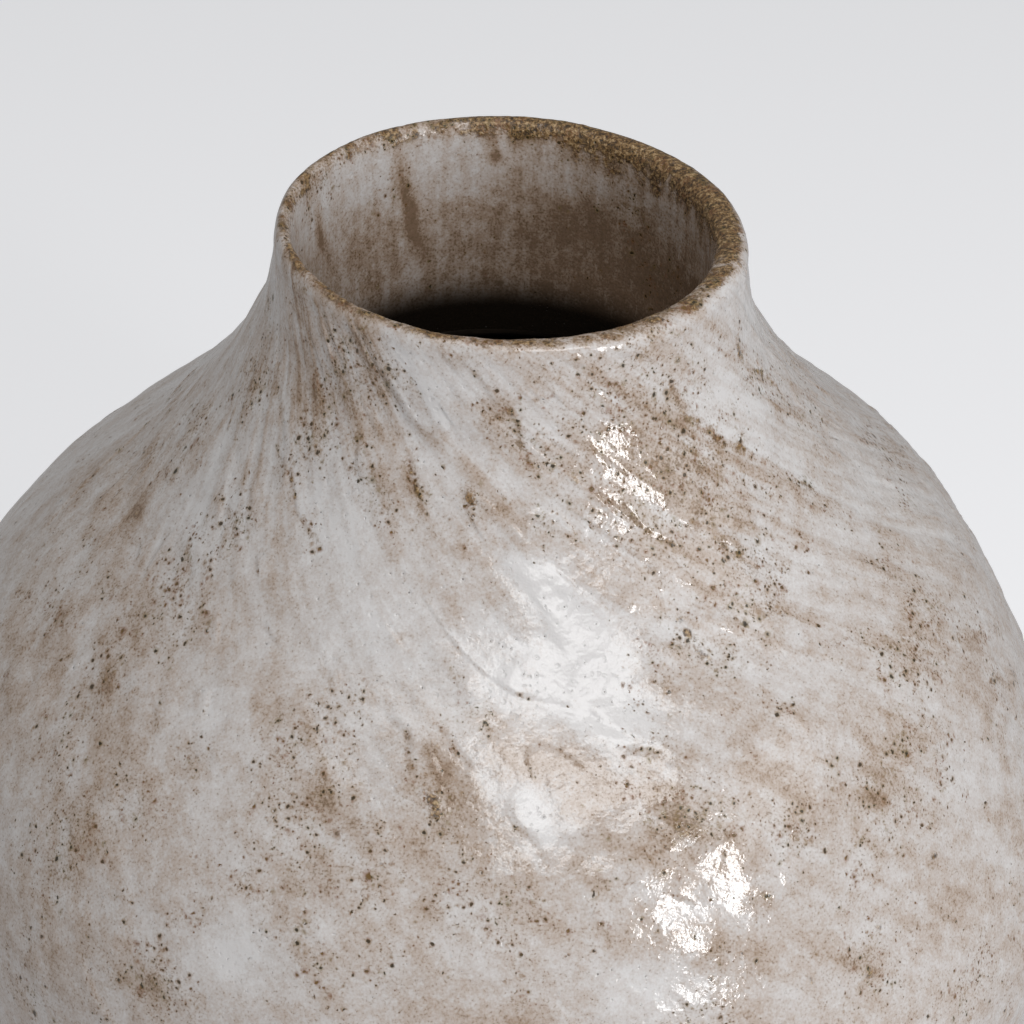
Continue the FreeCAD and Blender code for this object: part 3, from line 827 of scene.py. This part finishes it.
# Neck collar.
# A thrown tube let through the crown. Its bore shows through the mouth, where the glaze ran thin and
# brown from the rim, and its outside shows as the short neck. Its end inside the jar is smoothed.
neck_turns = 960
core_radius = coil_top[0] - coil_edge
outside = skin_strip(neck_turns, way_seat, way_top, rows=18)
bore = skin_strip(neck_turns, way_at(collar_end_height, True), way_at(lip_seat_height, True), rows=66)
end_points = 9
end_turn = np.linspace(0.0, math.pi, end_points)
end_middle, end_half = (core_radius + bore_radius) / 2.0, (core_radius - bore_radius) / 2.0
end_round = np.stack([end_middle + end_half * np.cos(end_turn),
                      collar_end_height - end_half * np.sin(end_turn)], axis=1)
glazed(clay_piece("neck_collar_glazed", [
    outside,
    plain_strip(neck_turns, [(core_radius, coil_top[1])], before=outside),
    plain_strip(neck_turns, [(core_radius, coil_top[1]), (core_radius, collar_end_height)], finish=1),
    plain_strip(neck_turns, end_round[:-1], after=bore, finish=1),
    bore,
    plain_strip(neck_turns, [], before=bore, after=outside),
]), "neck_collar", milky_glaze)

# Shoulder coil.
# A thick coil in the angle between collar and shoulder, dragged down over the bowl with the
# fingers. Their drags fan out over it and show under the glaze as ridges, laps and folds.
outside = skin_strip(neck_turns, way_top, way_toe, rows=94)
under = crown_curve[::crown_every] + [0.0, slip_gap - crown_sink]
under[0] = crown_start + [slip_gap, -crown_sink]
glazed(clay_piece("shoulder_coil_glazed", [
    outside,
    plain_strip(neck_turns, under[:1], before=outside),
    plain_strip(neck_turns, under),
    plain_strip(neck_turns, [under[-1], (opening_radius, coil_top[1])]),
    plain_strip(neck_turns, [(opening_radius, coil_top[1])], after=outside),
]), "shoulder_coil", milky_glaze)

# Lip coil.
# The last coil, set on the collar and rounded over between finger and thumb. The glaze ran off it in
# the kiln, so it shows ochre and brown crumbs of iron.
lip_turns = 1800
lip = skin_strip(lip_turns, way_at(lip_seat_height, True), way_seat, rows=50)
glazed(clay_piece("lip_coil_glazed", [
    lip,
    plain_strip(lip_turns, [], before=lip, after=lip),
]), "lip_coil", glaze_material("thin ochre lip glaze", 0.4))

# Foot ring.
# Turned on the wheel from the same clay and wiped clean of glaze, so that it doesn't stick to the
# kiln shelf. It shows fine turning grooves and grit.
foot_radius = 66.0
foot_flare = 2.0
foot_width = 12.0
foot_edge_round = 2.0
foot_turns = 640
edge_points = 8
side_points = 40
groove_pitch = 1.6
groove_depth = 0.06


def foot_strip(pairs):
    """Plain rings of the foot, cut by turning grooves whose depth goes as the cosine of the height."""
    pairs = np.array(pairs, float)
    pairs[:, 0] -= groove_depth * (1.0 + np.cos(2.0 * math.pi * pairs[:, 1] / groove_pitch))
    return plain_strip(foot_turns, pairs)


edge_turn = np.linspace(0.0, math.pi / 2.0, edge_points)
outer_edge = np.stack([foot_radius - foot_edge_round * (1.0 - np.cos(edge_turn)),
                       foot_edge_round * (1.0 - np.sin(edge_turn))], axis=1)
inner_edge = np.stack([foot_radius - foot_width + foot_edge_round * (1.0 - np.sin(edge_turn)),
                       foot_edge_round * (1.0 - np.cos(edge_turn))], axis=1)
side_height = np.linspace(foot_height, foot_edge_round, side_points)
outer_side = np.stack([foot_radius + foot_flare * side_height / foot_height, side_height], axis=1)
outer_edge[:, 0] += foot_flare * outer_edge[:, 1] / foot_height
inner_side = np.stack([np.full(side_points, foot_radius - foot_width), side_height[::-1]], axis=1)
foot_rows = np.vstack([outer_side[:-1], outer_edge])
foot_inner_rows = np.vstack([inner_edge, inner_side[1:]])
foot = clay_piece("foot_ring_turned", [
    foot_strip(foot_rows),
    plain_strip(foot_turns, [foot_rows[-1], foot_inner_rows[0]]),
    plain_strip(foot_turns, foot_inner_rows),
    plain_strip(foot_turns, [foot_inner_rows[-1], foot_rows[0]]),
])


def clay_material():
    """Bare stoneware: iron-bearing clay fired brown, matt and dry, with pale grit in it."""
    material, tree, shader = blank_material("bare toasted stoneware")
    place = add(tree, "TexCoord").outputs["Object"]
    toast = add(tree, "TexNoise", {"Vector": place, "Scale": fineness(9.0), "Detail": 5.0, "Roughness": 0.65})
    grit = add(tree, "TexNoise", {"Vector": place, "Scale": fineness(0.5), "Detail": 3.0, "Roughness": 0.7})
    share = add(tree, "Math", {0: grit, 1: 0.8, 2: toast}, operation="MULTIPLY_ADD")
    body = add(tree, "ValToRGB", {"Fac": share}, [(0.65, "#6f5140"), (0.85, "#8e6f58"), (1.0, "#b09278")])
    tree.links.new(body.outputs[0], shader.inputs["Base Color"])
    shader.inputs["Roughness"].default_value = 0.85
    bump = add(tree, "Bump", {"Height": grit, "Distance": 0.2 * metre, "Strength": 1.0})
    tree.links.new(bump.outputs["Normal"], shader.inputs["Normal"])
    return material


foot.data.materials.append(clay_material())
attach(foot, "root")
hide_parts("foot_ring")

# Floor, light and camera.
# A pale table top, a soft box high at the front, a narrow window and a pale wall at the right, a soft
# ceiling, and the photograph's view down on the jar's neck. Lengths here are in metres.
floor_size = 8.0
paper_glow = 0.47
aim_height = 0.25
room_glow = 0.23
camera_place = (0.0041, -0.6842, 0.7226)
camera_down = 34.24
camera_lens = 102.08
floor = bpy.data.objects.new("table_top", bpy.data.meshes.new("table_top"))
half = floor_size / 2.0
floor_corners = [(-half, -half, 0.0), (half, -half, 0.0), (half, half, 0.0), (-half, half, 0.0)]
floor.data.from_pydata(floor_corners, [], [(0, 1, 2, 3)])
bpy.context.scene.collection.objects.link(floor)
paper, paper_tree, paper_shader = blank_material("pale matt table")
paper_shader.inputs["Base Color"].default_value = colour("#e6e6e8")
paper_shader.inputs["Roughness"].default_value = 0.9
paper_shader.inputs["Emission Color"].default_value = colour("#e4e6ea")
seen = add(paper_tree, "LightPath").outputs["Is Camera Ray"]
glow = add(paper_tree, "Math", {0: seen, 1: paper_glow}, operation="MULTIPLY")
paper_tree.links.new(glow.outputs[0], paper_shader.inputs["Emission Strength"])
floor.data.materials.append(paper)


def soft_light(name, turn, rise, gap, width, height, power):
    """A rectangular lamp aimed at the jar's shoulder, so many degrees right of the front and up, and so
    many metres away."""
    light = bpy.data.lights.new(name, "AREA")
    light.shape = "RECTANGLE"
    light.size = width
    light.size_y = height
    light.energy = power
    lamp = bpy.data.objects.new(name, light)
    turn, rise = math.radians(turn), math.radians(rise)
    reach = np.array([math.sin(turn) * math.cos(rise), -math.cos(turn) * math.cos(rise), math.sin(rise)])
    lamp.location = np.array([0.0, 0.0, aim_height]) + reach * gap
    lamp.rotation_euler = (math.pi / 2.0 - rise, 0.0, turn)
    bpy.context.scene.collection.objects.link(lamp)


soft_light("soft_box", 20.0, 52.0, 1.6, 0.85, 0.45, 5.8)
soft_light("window", 40.0, 16.0, 1.6, 0.2, 0.55, 6.0)
soft_light("pale_wall", 60.0, 30.0, 1.8, 1.0, 0.7, 3.2)
soft_light("ceiling", -20.0, 76.0, 1.8, 1.3, 1.1, 7.5)

world = bpy.data.worlds.new("room")
world.use_nodes = True
room = world.node_tree.nodes["Background"]
room.inputs["Color"].default_value = (1.0, 0.98, 0.95, 1.0)
room.inputs["Strength"].default_value = room_glow
bpy.context.scene.world = world
bpy.context.scene.view_settings.view_transform = "Standard"

view = bpy.data.cameras.new("view")
view.lens = camera_lens
view.sensor_width = 36.0
view.clip_end = 20.0
camera = bpy.data.objects.new("view", view)
camera.location = camera_place
camera.rotation_euler = (math.radians(90.0 - camera_down), 0.0, 0.0)
bpy.context.scene.collection.objects.link(camera)
bpy.context.scene.camera = camera
